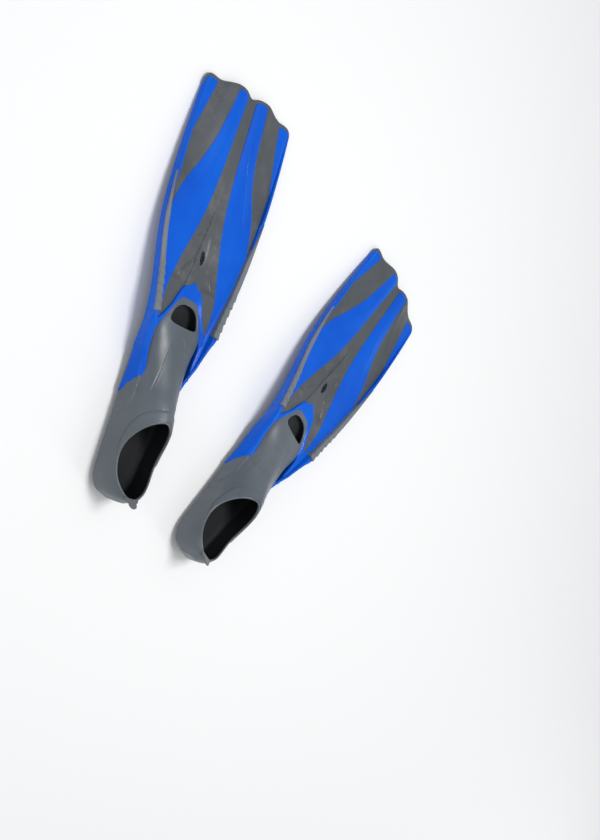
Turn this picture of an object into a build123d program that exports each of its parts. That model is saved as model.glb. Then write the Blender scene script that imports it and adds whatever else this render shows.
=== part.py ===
from build123d import *
import math
import os

# A pair of full-foot swim fins lying soles down, toed out, millimetres, +Z up.
# Each fin is drawn in its own frame: x across, y from the heel to the tip, z up.

# ---- placement of the pair ----
HEEL_SPACING = 190.0        # between the two heel centres
TOE_OUT = 14.0              # degrees each fin turns outward
PAIR_SHIFT_Y = -307.0       # brings the middle of the pair over the origin

# ---- main lengths along one fin, from the back of the heel ----
ROOT_END = 308.0            # front of the rubber foot pocket
ARCH_PEAK = 330.0           # front of the stiff arch round the toes
FLEX_Y = 346.0              # line on which the blade bends
FLEX_Z = 27.0
FLEX_R = 14.0               # rolling faces of the bend line
FLEX_GAP = 0.6
TRIM = 5.0                  # width of the rubber edge at the tip
# front edge of the tip, how far forward at each distance from the centre line
TIP_EDGE = ((0, 621), (5, 622.5), (10, 625.3), (17, 627.4), (28, 628), (37, 627.4), (50, 623.7),
            (62, 619.4), (70, 617.8), (80, 618.3), (88, 618), (93, 616), (97, 611), (100, 603))

# ---- blade ----
RAIL_OUT = ((140, 49), (178, 51.5), (220, 58), (270, 67.5), (313, 76), (354, 86), (393, 93.5),
            (440, 98), (490, 100), (540, 100), (580, 99), (625, 96.5))
RAIL_TOP = ((140, 28), (177, 35), (220, 40), (262, 45), (313, 40), (346, 36), (393, 29),
            (440, 24.5), (500, 19.5), (560, 13.5), (625, 6.5))
RAIL_LOW = ((140, 7.6), (177, 12.1), (220, 15), (262, 16.5), (313, 17), (346, 16), (393, 13),
            (440, 10), (500, 7), (560, 3.5), (612, 0), (625, 0))
RAIL_T = ((140, 9), (270, 8), (346, 7), (440, 5.5), (625, 4))
RAIL_BEVEL = ((140, 1.5), (178, 4), (215, 6), (252, 6), (268, 1.5), (300, 1.5))
RAIL_LEAN = ((140, -6), (177, -8), (220, 0), (265, 7), (346, 4), (420, 1), (625, 0))
DECK_Z = ((240, 31), (275, 30), (300, 28.5), (330, 26), (372, 22), (420, 18.5), (500, 14), (625, 7.5))
DISH = ((240, 3), (330, 2.5), (375, 0), (500, -2), (625, -4))
RIPPLE = ((346, 0), (430, 1.5), (520, 3), (625, 4))
RIPPLE_SPAN = 0.62          # share of the half width taken by one ripple
EDGE_LIFT = 0.4             # rise beside the rail, as a share of the ripple
EDGE_LIFT_FROM = 0.8
SHEET_T = ((240, 4.5), (346, 4), (500, 3.2), (625, 2.6))

# ---- where the colours meet, half widths from the centre line ----
INNER_EDGE = ((250, 50), (271, 50.5), (300, 51), (320, 49.5), (340, 45), (365, 39), (403, 28),
              (445, 19.5), (500, 14), (560, 11.5), (630, 9))
OUTER_EDGE = ((346, 90), (400, 90), (412, 87), (430, 84), (455, 78), (500, 58.5), (543, 45),
              (630, 31.5))
SIDE_EDGE = ((490, 99), (505, 95.5), (535, 90), (575, 80.5), (630, 69))
RIDGE_HALF = ((330, 17), (358, 14), (394, 9.5), (430, 5), (460, 1.2))
RIDGE_H = 2.2
RIDGE_SLOPE = 1.6           # width of the wedge's sloping sides
VENT_LONG = 11.0
VENT_WIDE = 5.0
VENT_Y = 371.0
# thin raised ribs beside the wedge: distance out, distance along, length
FINE_RIBS = ((26.5, 347.5, 27.2), (18.3, 400.0, 11.2))
FINE_RIB_TURN = 33.0
FINE_RIB_WIDE = 1.8
FINE_RIB_TALL = 2.4
FINE_RIB_LIFT = 2.0

# ---- rubber cap on each rail ----
CAP_BACK = 270.0
CAP_T = 2.6
CAP_TEETH = 6
CAP_TOOTH_H = 1.6
CAP_FRONT = 465.0
CAP_SKIRT = 9.0             # height of the cap's inner side
CAP_SKIRT_T = 2.2           # thickness of that side
CAP_SIDE_INSET = 0.2        # the cap stands this far inside the rail's outer face
CAP_ROUND = 1.2             # rounding of its top edges

# ---- foot pocket: half width, underside and top along the foot ----
FOOT_W = ((0, 11), (6, 24), (15, 31.5), (30, 38), (60, 41), (100, 43.5), (127, 45.5), (150, 47.5),
          (180, 49), (220, 50), (245, 50.5), (262, 48.5), (277, 42), (290, 36.5), (300, 31.5),
          (308, 25))
FOOT_LOW = ((0, 18), (6, 8), (15, 3.5), (30, 2), (150, 2), (180, 2.5), (220, 5), (262, 9.5),
            (290, 14), (308, 20))
FOOT_TOP = ((0, 46), (6, 60), (15, 66), (30, 70), (60, 76), (100, 79), (127, 77), (150, 71),
            (180, 60), (220, 48.5), (262, 40.5), (290, 35.5), (308, 31))
WIDEST_AT = 0.13             # height of the widest line, as a share of the section
FOOT_SHARP = ((0, 0.8), (70, 0.8), (110, 1.05), (140, 1.2), (180, 1.15), (225, 0.95),
              (250, 0.7), (270, 0.6))
SOLE_SHARP = 0.55           # the same for the lower half of the section
POCKET_POINTS = 28          # points round one section
POCKET_WALL = 3.0
HEEL_WALL = 5.0
TOE_WALL = 7.0
SOLE_WALL = 6.0
COLLAR_GROW = 1.2
COLLAR_LINE = ((55, 47), (70, 43.5), (85, 42.1), (104, 45.5), (114, 48.6), (126, 53.9),
               (136.5, 63.8), (144, 75), (150, 90))
RIM = ((-20, 64), (4, 62), (14, 59), (30, 52), (48, 46.5), (66, 44.5), (84, 48), (104, 58),
       (120, 69), (130, 78), (136, 90))

# ---- stiff arch round the toes: outer edge from above, and its height over the sheet ----
ARCH_EDGE = ((0, ARCH_PEAK), (14, ARCH_PEAK - 1), (19, 322), (25, 312), (32, 292), (44, 272), (51, 262))
ARCH_RISE = 3.0
# front of the pocket from above, inside which no stiff material lies
POCKET_EDGE = ((0, 307), (13, 307), (27, 297), (35, 277), (43, 263), (46, 252), (46, 195))

# ---- toe opening, D shape ----
TOE_FRONT = 300.0
TOE_BACK = 267.0
TOE_HALF = 30.0
TOE_SHARP = 0.8             # below 1 squares the D's corners
TOE_CORNER = 3.0            # how far the straight side is behind its ends
TOE_FLOOR_Z = 26.0

# ---- side struts ----
STRUT_END_LOW = (148.0, 6.0)
STRUT_END_HIGH = (178.0, 36.0)
RAIL_FOOT = (1.0, 1.5)      # bevel under the rail, across and up
BEVEL_LEAN = 0.75           # the top bevel is this much narrower than it is tall

# ---- tread and heel tab ----
SOLE_Z = 2.0                # underside of the pocket
TREAD_T = 0.8
TREAD_RIBS = 12
TREAD_SHARE = 0.74          # width of the tread as a share of the foot's
TREAD_BACK = 22.0
TREAD_FRONT = 168.0
RIB_LONG = 5.0
RIB_INSET = 6.0
TAB_W = 15.0
TAB_ROOT_W = 23.0
TAB_LEN = 14.0
TAB_T = 3.2
TAB_Y = 8.0
TAB_Z = 63.2
TAB_TILT = 45.0             # degrees the tab stands up from pointing straight back

os.makedirs("parts", exist_ok=True)


def along(keys, y):
    """Smoothly joined value of a profile at y, flat beyond its ends."""
    if y <= keys[0][0]:
        return float(keys[0][1])
    if y >= keys[-1][0]:
        return float(keys[-1][1])
    i = 0
    while keys[i + 1][0] < y:
        i = i + 1
    slope = []
    for j in (i, i + 1):
        a = max(j - 1, 0)
        b = min(j + 1, len(keys) - 1)
        slope.append((keys[b][1] - keys[a][1]) / (keys[b][0] - keys[a][0]))
    span = keys[i + 1][0] - keys[i][0]
    t = (y - keys[i][0]) / span
    h00 = (1 + 2 * t) * (1 - t) ** 2
    h10 = t * (1 - t) ** 2
    h01 = t * t * (3 - 2 * t)
    h11 = t * t * (t - 1)
    low = h00 * keys[i][1] + h10 * span * slope[0]
    return low + h01 * keys[i + 1][1] + h11 * span * slope[1]


def deck(x, y):
    """Middle height of the blade sheet: dished at the root, rippled towards the tip."""
    u = min(abs(x) / along(RAIL_OUT, y), 1.0)
    wave = 0.5 - 0.5 * math.cos(2 * math.pi * min(u / RIPPLE_SPAN, 1.0))
    lift = EDGE_LIFT * max(0.0, (u - EDGE_LIFT_FROM) / (1 - EDGE_LIFT_FROM))
    ripple = along(RIPPLE, y) * (wave + lift - EDGE_LIFT)
    return along(DECK_Z, y) + along(DISH, y) * u * u + ripple


def ridge(x, y):
    """Extra height of the raised wedge down the middle of the soft insert."""
    half = along(RIDGE_HALF, y)
    if y > RIDGE_HALF[-1][0] or abs(x) >= half:
        return 0.0
    return RIDGE_H * min(1.0, (half - abs(x)) / RIDGE_SLOPE)


def tip_line(x):
    """How far forward the blade reaches at x."""
    return along(TIP_EDGE, abs(x))


def section(y, points):
    """Closed flat face across the fin at y."""
    with BuildSketch(Plane.XZ.offset(-y)) as flat:
        with BuildLine():
            Polyline(*points, close=True)
        make_face()
    return flat.sketch


def skin(stations, outline):
    """Solid through straight-sided sections."""
    faces = []
    for y in stations:
        faces.append(section(y, outline(y)))
    return loft(sections=faces, ruled=True)


def steps(start, end, count):
    return [start + (end - start) * i / (count - 1) for i in range(count)]


def strip(stations, low_x, high_x, across, extra=None):
    """Piece of the blade sheet between two edges."""

    def outline(y):
        half = along(SHEET_T, y) / 2
        xs = steps(low_x(y), high_x(y), across)
        top = []
        for x in xs:
            rise = extra(x, y) if extra else 0.0
            top.append((x, deck(x, y) + half + rise))
        low = [(x, deck(x, y) - half) for x in reversed(xs)]
        return top + low

    return skin(stations, outline)


BLADE_Y = steps(FLEX_Y - 16, 630, 16)


def plan(points, low=-20.0, high=120.0):
    """Upright prism from a closed outline seen from above."""
    with BuildPart() as prism:
        with BuildSketch(Plane.XY.offset(low)):
            with BuildLine():
                Polyline(*points, close=True)
            make_face()
        extrude(amount=high - low)
    return prism.part


def side_prism(points, half=140.0):
    """Prism across the fin from a closed (y, z) outline."""
    with BuildPart() as prism:
        with BuildSketch(Plane.YZ.offset(-half)):
            with BuildLine():
                Polyline(*points, close=True)
            make_face()
        extrude(amount=2 * half)
    return prism.part


# ---- bend line: rolling faces shared by everything that crosses it ----
def flex_side(front):
    """Space that belongs to the blade (front) or to the foot pocket side."""
    if front:
        with BuildPart() as space:
            with Locations((0, FLEX_Y + 200, 50)):
                Box(300, 400, 300)
            with Locations(Location((0, FLEX_Y, FLEX_Z), (0, 90, 0))):
                Cylinder(FLEX_R, 300)
        return space.part
    with BuildPart() as space:
        with Locations((0, FLEX_Y - FLEX_GAP - 200, 50)):
            Box(300, 400, 300)
        with Locations(Location((0, FLEX_Y, FLEX_Z), (0, 90, 0))):
            Cylinder(FLEX_R + FLEX_GAP, 300, mode=Mode.SUBTRACT)
    return space.part


# ---- rubber foot pocket ----
def foot_outline(y, grow, floor, roof):
    """Rounded section of the foot pocket, flatter below than above."""
    half = along(FOOT_W, y) + grow
    low = along(FOOT_LOW, y) + floor
    top = along(FOOT_TOP, y) + roof
    mid = low + (top - low) * WIDEST_AT
    points = []
    for k in range(POCKET_POINTS):
        a = 2 * math.pi * (k + 0.5) / POCKET_POINTS
        c = math.cos(a)
        s = math.sin(a)
        sharp = along(FOOT_SHARP, y) if s > 0 else SOLE_SHARP
        x = half * math.copysign(abs(c) ** sharp, c)
        z = mid + (top - mid if s > 0 else mid - low) * math.copysign(abs(s) ** sharp, s)
        points.append((x, z))
    return points


def foot_solid(stations, grow, floor, roof):
    return skin(stations, lambda y: foot_outline(y, grow, floor, roof))


FOOT_Y = [0.5, 3, 8, 16, 28, 45, 66, 90, 112, 130, 150, 175, 200, 228, 252, 272, 290, 302, ROOT_END]


BOOT = foot_solid(FOOT_Y, 0.0, 0.0, 0.0)


def above(keys, count):
    """Everything above a line drawn on the side view."""
    back = keys[0][0]
    front = keys[-1][0]
    line = [(y, along(keys, y)) for y in steps(back, front, count)]
    return side_prism(line + [(front, 140), (back, 140)])


def toe_outline(grow):
    """D outline of the toe opening, straight side towards the instep."""
    points = []
    for k in range(13):
        a = math.pi * k / 12
        x = (TOE_HALF + grow) * math.copysign(abs(math.cos(a)) ** TOE_SHARP, math.cos(a))
        points.append((x, TOE_BACK + (TOE_FRONT + grow - TOE_BACK) * math.sin(a)))
    points.append((-TOE_HALF * TOE_SHARP, TOE_BACK - TOE_CORNER - grow))
    points.append((TOE_HALF * TOE_SHARP, TOE_BACK - TOE_CORNER - grow))
    return points


def foot_pocket():
    inner_y = [HEEL_WALL] + [y for y in FOOT_Y if 8 <= y <= 290] + [ROOT_END - TOE_WALL]
    collar_y = [y for y in FOOT_Y if 40 < y < 160]
    band = foot_solid(collar_y, COLLAR_GROW, 0.0, COLLAR_GROW)
    near_rim = above(COLLAR_LINE, 20)
    cavity = foot_solid(inner_y, -POCKET_WALL, SOLE_WALL, -POCKET_WALL)
    above_rim = above(RIM, 27)
    toe_hole = plan(toe_outline(0.0), TOE_FLOOR_Z, 120.0)
    with BuildPart() as collar:
        add(band)
        add(near_rim, mode=Mode.INTERSECT)
    with BuildPart() as boot:
        add(BOOT)
        add(collar.part)
        add(cavity, mode=Mode.SUBTRACT)
        add(above_rim, mode=Mode.SUBTRACT)
        add(toe_hole, mode=Mode.SUBTRACT)
    return boot.part


# ---- tread under the foot pocket ----
def outsole():
    def edge(y):
        return along(FOOT_W, y) * TREAD_SHARE

    ys = steps(TREAD_BACK, TREAD_FRONT, 9)
    outline = [(edge(y), y) for y in ys] + [(-edge(y), y) for y in reversed(ys)]
    plate = plan(outline, SOLE_Z - TREAD_T, SOLE_Z)
    with BuildPart() as tread:
        add(plate)
        for y in steps(TREAD_BACK + RIB_INSET, TREAD_FRONT - RIB_INSET, TREAD_RIBS):
            with Locations((0, y, (SOLE_Z - TREAD_T) / 2)):
                Box(2 * edge(y) - RIB_INSET, RIB_LONG, SOLE_Z - TREAD_T)
        add(BOOT, mode=Mode.SUBTRACT)
    return tread.part


# ---- stiff arch, struts and rail roots ----
def rail_outline(y, cap):
    """Upright side rail; cap is how much of its top is left to the rubber."""
    out = along(RAIL_OUT, y)
    top = along(RAIL_TOP, y) - cap
    low = along(RAIL_LOW, y)
    thick = along(RAIL_T, y)
    lean = along(RAIL_LEAN, y)
    bevel = along(RAIL_BEVEL, y)
    foot = out - max(lean, 0.0)
    head = out + min(lean, 0.0)
    in_by, up_by = RAIL_FOOT
    return [(foot - thick, low), (foot - in_by, low), (foot, low + up_by), (head, top - bevel),
            (head - bevel * BEVEL_LEAN, top), (head - thick, top)]


def cap_depth(y):
    return CAP_T if CAP_BACK < y < CAP_FRONT + 1 else 0.0


def both_sides(right):
    """Outline of a right half, from the centre line outwards, and its mirror image."""
    left = [(-x, y) for x, y in reversed(right)]
    return right + left[:-1]


def tail_plan():
    """Both soft tails of the insert, one outline, as far as the bend line."""
    side = [(along(INNER_EDGE, y), y) for y in (270, 285, 300, 320, 340, 365)]
    return plan(both_sides(list(ARCH_EDGE) + side), 0.0, 60.0)


def arch_band():
    """Raised band between the pocket and the soft tails."""
    half = ARCH_EDGE[-1][0]
    sheet = strip(steps(ARCH_EDGE[-1][1], ARCH_PEAK + 2, 8), lambda y: -half, lambda y: half, 13,
                  lambda x, y: ARCH_RISE)
    outline = plan(both_sides(list(ARCH_EDGE)), 0.0, 60.0)
    with BuildPart() as band:
        add(sheet)
        add(outline, mode=Mode.INTERSECT)
    return band.part


def root_deck():
    reach = lambda y: along(RAIL_OUT, y) - along(RAIL_T, y) / 2 - max(along(RAIL_LEAN, y), 0) * 0.5
    return strip(steps(200, 366, 10), lambda y: -reach(y), reach, 13, ridge)


def mirror_x(shape):
    return shape.mirror(Plane.YZ)


def rail_root():
    stations = steps(140, CAP_BACK, 8) + [CAP_BACK + 0.5] + steps(286, 366, 6)
    return skin(stations, lambda y: rail_outline(y, cap_depth(y)))


def rail_ahead():
    return skin(BLADE_Y, lambda y: rail_outline(y, cap_depth(y)))


def pocket_frame():
    rail = rail_root()
    end = [(120, -10), (STRUT_END_LOW[0], -10), STRUT_END_LOW, STRUT_END_HIGH,
           (STRUT_END_HIGH[0] + 2, 90), (120, 90)]
    sheet = root_deck()
    band = arch_band()
    behind = side_prism(end)
    tails = tail_plan()
    pocket_front = plan(both_sides(list(POCKET_EDGE)))
    allowed = flex_side(False)
    with BuildPart() as frame:
        add(rail)
        add(mirror_x(rail))
        add(sheet)
        add(behind, mode=Mode.SUBTRACT)
        add(tails, mode=Mode.SUBTRACT)
        add(band)
        add(pocket_front, mode=Mode.SUBTRACT)
        add(BOOT, mode=Mode.SUBTRACT)
        add(allowed, mode=Mode.INTERSECT)
    return frame.part


def insert_root():
    sheet = root_deck()
    outline = tail_plan()
    allowed = flex_side(False)
    with BuildPart() as tails:
        add(sheet)
        add(outline, mode=Mode.INTERSECT)
        add(allowed, mode=Mode.INTERSECT)
        add(BOOT, mode=Mode.SUBTRACT)
    return tails.part


# ---- rubber caps along the rails ----
def tooth(y):
    pitch = (FLEX_Y - CAP_BACK) / CAP_TEETH
    t = (y - CAP_BACK) / pitch
    if t < 0 or t > CAP_TEETH:
        return 0.0
    return CAP_TOOTH_H * (1 - (t - math.floor(t)))


def cap_outline(y):
    out = along(RAIL_OUT, y) + min(along(RAIL_LEAN, y), 0.0)
    thick = along(RAIL_T, y)
    top = along(RAIL_TOP, y) + tooth(y)
    shelf = along(RAIL_TOP, y) - CAP_T
    inner = out - thick
    skirt = max(deck(inner, y) + along(SHEET_T, y) / 2 + 0.2, shelf - CAP_SKIRT)
    skirt = min(skirt, shelf - 0.3)
    outer = out - CAP_SIDE_INSET
    bottom = inner - CAP_SKIRT_T
    return [(outer, shelf), (outer, top - CAP_ROUND), (outer - CAP_ROUND, top),
            (inner + CAP_ROUND, top), (bottom, top - CAP_ROUND), (bottom, skirt),
            (inner, skirt), (inner, shelf)]


def rail_cap(front):
    if front:
        stations = steps(FLEX_Y - 16, FLEX_Y, 2) + steps(FLEX_Y + 20, CAP_FRONT, 9)
    else:
        pitch = (FLEX_Y - CAP_BACK) / CAP_TEETH
        stations = []
        for k in range(CAP_TEETH):
            stations.append(CAP_BACK + 0.6 + pitch * k)
            stations.append(CAP_BACK + pitch * (k + 1) - 0.4)
        stations.append(FLEX_Y + 12)
    strip_of_rubber = skin(stations, cap_outline)
    rail = rail_ahead() if front else rail_root()
    sheet = long_rib() if front else root_deck()
    allowed = flex_side(front)
    with BuildPart() as cap:
        add(strip_of_rubber)
        add(rail, mode=Mode.SUBTRACT)
        add(sheet, mode=Mode.SUBTRACT)
        add(allowed, mode=Mode.INTERSECT)
    return cap.part


# ---- stiff blade: rails, two long ribs and two outer ribs ----
def tip_beyond(inset):
    half = 105
    edge = [(x, tip_line(x) - inset) for x in steps(-half, half, 71)]
    return plan(edge + [(half, 700), (-half, 700)])


def rail_inner(y):
    lean = max(along(RAIL_LEAN, y), 0.0)
    return along(RAIL_OUT, y) - along(RAIL_T, y) - lean * 0.5


def long_rib():
    """Wide inner rib of one side, from the bend line to the tip."""
    edge_in = lambda y: along(INNER_EDGE, y)
    edge_out = lambda y: min(along(OUTER_EDGE, y), rail_inner(y) + 1.5)
    return strip(BLADE_Y, edge_in, edge_out, 5)


def side_rib():
    """Outer rib that widens from the rail towards the tip."""
    edge_in = lambda y: min(along(SIDE_EDGE, y), rail_inner(y) + 1.0)
    edge_out = lambda y: rail_inner(y) + 1.5
    return strip([y for y in BLADE_Y if y > 500], edge_in, edge_out, 5)


def blade_frame():
    rail = rail_ahead()
    inner = long_rib()
    outer = side_rib()
    allowed = flex_side(True)
    beyond = tip_beyond(TRIM)
    with BuildPart() as blade:
        add(rail)
        add(inner)
        add(outer)
        add(allowed, mode=Mode.INTERSECT)
        add(beyond, mode=Mode.SUBTRACT)
    return blade.part


# ---- soft pieces of the blade ----
def channel():
    low = lambda y: along(OUTER_EDGE, y)
    high = lambda y: max(min(along(SIDE_EDGE, y), rail_inner(y)), low(y) + 0.3)
    sheet = strip([y for y in BLADE_Y if y > 400], low, high, 5)
    stiff = [rail_ahead(), long_rib(), side_rib()]
    beyond = tip_beyond(TRIM)
    with BuildPart() as soft:
        add(sheet)
        add(stiff, mode=Mode.SUBTRACT)
        add(beyond, mode=Mode.SUBTRACT)
    return soft.part


def centre_insert():
    half = lambda y: along(INNER_EDGE, y)

    def outline(y):
        thick = along(SHEET_T, y) / 2
        wedge = max(along(RIDGE_HALF, y), 1.2)
        xs = [half(y), (half(y) + wedge) / 2, wedge, max(wedge - RIDGE_SLOPE, 0.4)]
        right = [(x, deck(x, y) + thick + ridge(x, y)) for x in xs]
        left = [(-x, z) for x, z in reversed(right)]
        low = [(x, deck(x, y) - thick) for x in steps(-half(y), half(y), 5)]
        return right + left + low

    sheet = skin(BLADE_Y, outline)
    allowed = flex_side(True)
    beyond = tip_beyond(TRIM)
    with BuildPart() as soft:
        add(sheet)
        add(allowed, mode=Mode.INTERSECT)
        add(beyond, mode=Mode.SUBTRACT)
        with BuildSketch(Plane.XY):
            with Locations((0, VENT_Y)):
                Ellipse(VENT_WIDE, VENT_LONG)
        extrude(amount=80, mode=Mode.SUBTRACT)
        for side in (-1, 1):
            for x, y, length in FINE_RIBS:
                place_at = (side * x, y, deck(x, y) + FINE_RIB_LIFT)
                with Locations(Location(place_at, (0, 0, side * FINE_RIB_TURN))):
                    Box(FINE_RIB_WIDE, length, FINE_RIB_TALL)
    return soft.part


def tip_trim():
    wide = lambda y: along(RAIL_OUT, y) - 0.2
    sheet = strip(steps(596, 630, 5), lambda y: -wide(y), wide, 25)
    band = tip_beyond(TRIM - 0.05)
    beyond = tip_beyond(0.0)
    with BuildPart() as trim:
        add(sheet)
        add(band, mode=Mode.INTERSECT)
        add(beyond, mode=Mode.SUBTRACT)
    return trim.part


# ---- pull tab at the back of the heel ----
def heel_tab():
    with BuildPart() as tab:
        with BuildSketch(Plane.XY):
            with BuildLine():
                Polyline((-TAB_ROOT_W / 2, 0), (TAB_ROOT_W / 2, 0), (TAB_W / 2, 4),
                         (TAB_W / 2, TAB_LEN - TAB_W / 2), (-TAB_W / 2, TAB_LEN - TAB_W / 2),
                         (-TAB_W / 2, 4), close=True)
            make_face()
            with Locations((0, TAB_LEN - TAB_W / 2)):
                Circle(TAB_W / 2)
        extrude(amount=TAB_T / 2, both=True)
    turned = tab.part.rotate(Axis.Z, 180).rotate(Axis.X, -TAB_TILT)
    return turned.translate((0, TAB_Y, TAB_Z))


# ---- the pair ----
def place(shape, side):
    turned = shape.rotate(Axis.Z, -side * TOE_OUT)
    return turned.translate((side * HEEL_SPACING / 2, PAIR_SHIFT_Y, 0))


cap_back = rail_cap(False)
cap_front = rail_cap(True)
soft_channel = channel()
stiff_blade = blade_frame()
pieces = {
    "foot_pocket": foot_pocket(),
    "outsole": outsole(),
    "pocket_frame": pocket_frame(),
    "insert_root": insert_root(),
    "blade_frame_a": mirror_x(stiff_blade),
    "blade_frame_b": stiff_blade,
    "centre_insert": centre_insert(),
    "tip_trim": tip_trim(),
    "heel_tab": heel_tab(),
    "cap_root_a": mirror_x(cap_back),
    "cap_root_b": cap_back,
    "rail_cap_a": mirror_x(cap_front),
    "rail_cap_b": cap_front,
    "channel_a": mirror_x(soft_channel),
    "channel_b": soft_channel,
}

for name, shape in pieces.items():
    for side, prefix in ((-1, "left_"), (1, "right_")):
        with BuildPart() as node:
            add(place(shape, side))
        node.part.label = prefix + name
        export_step(node.part, "parts/" + prefix + name + ".step")
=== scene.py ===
import math

import bmesh
import bpy
import numpy as np
from mathutils import Matrix, Vector


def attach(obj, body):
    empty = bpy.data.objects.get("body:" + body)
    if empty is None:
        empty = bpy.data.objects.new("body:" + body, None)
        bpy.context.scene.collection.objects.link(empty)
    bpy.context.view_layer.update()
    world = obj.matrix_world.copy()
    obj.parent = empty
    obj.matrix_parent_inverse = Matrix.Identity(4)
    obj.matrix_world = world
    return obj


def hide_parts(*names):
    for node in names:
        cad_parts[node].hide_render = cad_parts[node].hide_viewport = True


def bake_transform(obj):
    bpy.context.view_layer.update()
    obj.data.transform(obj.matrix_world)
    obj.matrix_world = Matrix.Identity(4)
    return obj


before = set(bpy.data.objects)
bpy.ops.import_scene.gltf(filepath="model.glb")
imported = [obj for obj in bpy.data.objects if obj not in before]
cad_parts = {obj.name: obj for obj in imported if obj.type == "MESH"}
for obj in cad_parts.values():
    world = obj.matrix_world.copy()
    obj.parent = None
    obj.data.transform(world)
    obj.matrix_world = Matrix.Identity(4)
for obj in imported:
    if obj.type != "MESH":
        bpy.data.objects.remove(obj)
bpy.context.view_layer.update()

# A pair of full-foot swim fins. Shapes are worked out in millimetres in one fin's own frame
# (x across, y heel to tip, z up), then set in place for each fin, in metres.
MM = 0.001
HEEL_SPACING = 190.0
TOE_OUT = 14.0
PAIR_SHIFT_Y = -307.0
FLEX_Y = 346.0

# ---- tables shared with the CAD ----
TRIM = 5.0
TIP_EDGE = ((0, 621), (5, 622.5), (10, 625.3), (17, 627.4), (28, 628), (37, 627.4), (50, 623.7),
            (62, 619.4), (70, 617.8), (80, 618.3), (88, 618), (93, 616), (97, 611), (100, 603))
RAIL_OUT = ((140, 49), (178, 51.5), (220, 58), (270, 67.5), (313, 76), (354, 86), (393, 93.5),
            (440, 98), (490, 100), (540, 100), (580, 99), (625, 96.5))
RAIL_TOP = ((140, 28), (177, 35), (220, 40), (262, 45), (313, 40), (346, 36), (393, 29),
            (440, 24.5), (500, 19.5), (560, 13.5), (625, 6.5))
RAIL_LOW = ((140, 7.6), (177, 12.1), (220, 15), (262, 16.5), (313, 17), (346, 16), (393, 13),
            (440, 10), (500, 7), (560, 3.5), (612, 0), (625, 0))
RAIL_T = ((140, 9), (270, 8), (346, 7), (440, 5.5), (625, 4))
RAIL_BEVEL = ((140, 1.5), (178, 4), (215, 6), (252, 6), (268, 1.5), (300, 1.5))
RAIL_LEAN = ((140, -6), (177, -8), (220, 0), (265, 7), (346, 4), (420, 1), (625, 0))
DECK_Z = ((240, 31), (275, 30), (300, 28.5), (330, 26), (372, 22), (420, 18.5), (500, 14), (625, 7.5))
DISH = ((240, 3), (330, 2.5), (375, 0), (500, -2), (625, -4))
RIPPLE = ((346, 0), (430, 1.5), (520, 3), (625, 4))
RIPPLE_SPAN = 0.62          # share of the half width taken by one ripple
EDGE_LIFT = 0.4             # rise beside the rail, as a share of the ripple
EDGE_LIFT_FROM = 0.8
SHEET_T = ((240, 4.5), (346, 4), (500, 3.2), (625, 2.6))
INNER_EDGE = ((250, 50), (271, 50.5), (300, 51), (320, 49.5), (340, 45), (365, 39), (403, 28),
              (445, 19.5), (500, 14), (560, 11.5), (630, 9))
OUTER_EDGE = ((346, 90), (400, 90), (412, 87), (430, 84), (455, 78), (500, 58.5), (543, 45),
              (630, 31.5))
SIDE_EDGE = ((490, 99), (505, 95.5), (535, 90), (575, 80.5), (630, 69))
RIDGE_HALF = ((330, 17), (358, 14), (394, 9.5), (430, 5), (460, 1.2))
RIDGE_H = 2.2
VENT_LONG = 11.0
VENT_WIDE = 5.0
VENT_Y = 371.0
CAP_BACK = 270.0
CAP_FRONT = 465.0
CAP_T = 2.6
CAP_TEETH = 6
CAP_SKIRT = 9.0
FOOT_W = ((0, 11), (6, 24), (15, 31.5), (30, 38), (60, 41), (100, 43.5), (127, 45.5), (150, 47.5),
          (180, 49), (220, 50), (245, 50.5), (262, 48.5), (277, 42), (290, 36.5), (300, 31.5), (308, 25))
FOOT_LOW = ((0, 18), (6, 8), (15, 3.5), (30, 2), (150, 2), (180, 2.5), (220, 5), (262, 9.5),
            (290, 14), (308, 20))
FOOT_TOP = ((0, 46), (6, 60), (15, 66), (30, 70), (60, 76), (100, 79), (127, 77), (150, 71),
            (180, 60), (220, 48.5), (262, 40.5), (290, 35.5), (308, 31))
WIDEST_AT = 0.13
FOOT_SHARP = ((0, 0.8), (70, 0.8), (110, 1.05), (140, 1.2), (180, 1.15), (225, 0.95), (250, 0.7), (270, 0.6))
SOLE_SHARP = 0.55
WALL = 3.0
SOLE_WALL = 6.0
COLLAR_LINE = ((55, 47), (70, 43.5), (85, 42.1), (104, 45.5), (114, 48.6), (126, 53.9),
               (136.5, 63.8), (144, 75), (150, 90))
RIM = ((-20, 64), (4, 62), (14, 59), (30, 52), (48, 46.5), (66, 44.5), (84, 48), (104, 58),
       (120, 69), (130, 78), (136, 90))
ARCH_EDGE = ((0, 335), (3.5, 333), (8, 326), (15, 326), (20, 321), (25, 311), (32, 292), (44, 272), (51, 262))
ARCH_ROOT = ((0, 307), (4, 307), (8, 307), (13, 305), (18, 300.5), (23, 293), (29, 282), (37, 268), (43, 257))
ARCH_RISE = 3.0
ARCH_END = ((60, 240), (50, 236))
TOE_FRONT = 300.0
TOE_BACK = 267.0
TOE_HALF = 30.0
TAB_W = 15.0
TAB_ROOT_W = 23.0
TAB_LEN = 14.0
TAB_T = 3.2
TAB_Y = 8.0
TAB_Z = 63.2
TAB_TILT = 45.0

# ---- tread under the foot, as in the CAD ----
TREAD_BACK = 22.0
TREAD_FRONT = 168.0
TREAD_SHARE = 0.74          # of the pocket's half width
TREAD_CORNER = 14.0
TREAD_TOP = 3.4
LUG_TALL = 1.2
LUG_FIRST = 28
LUG_LAST = 162
LUG_COUNT = 12
LUG_HALF = 2.9
GROOVE_X = 12               # long grooves that cross the lugs
LUG_ROWS = (-2.9, -2.45, -2.1, 0.0, 2.1, 2.45, 2.9)

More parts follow.
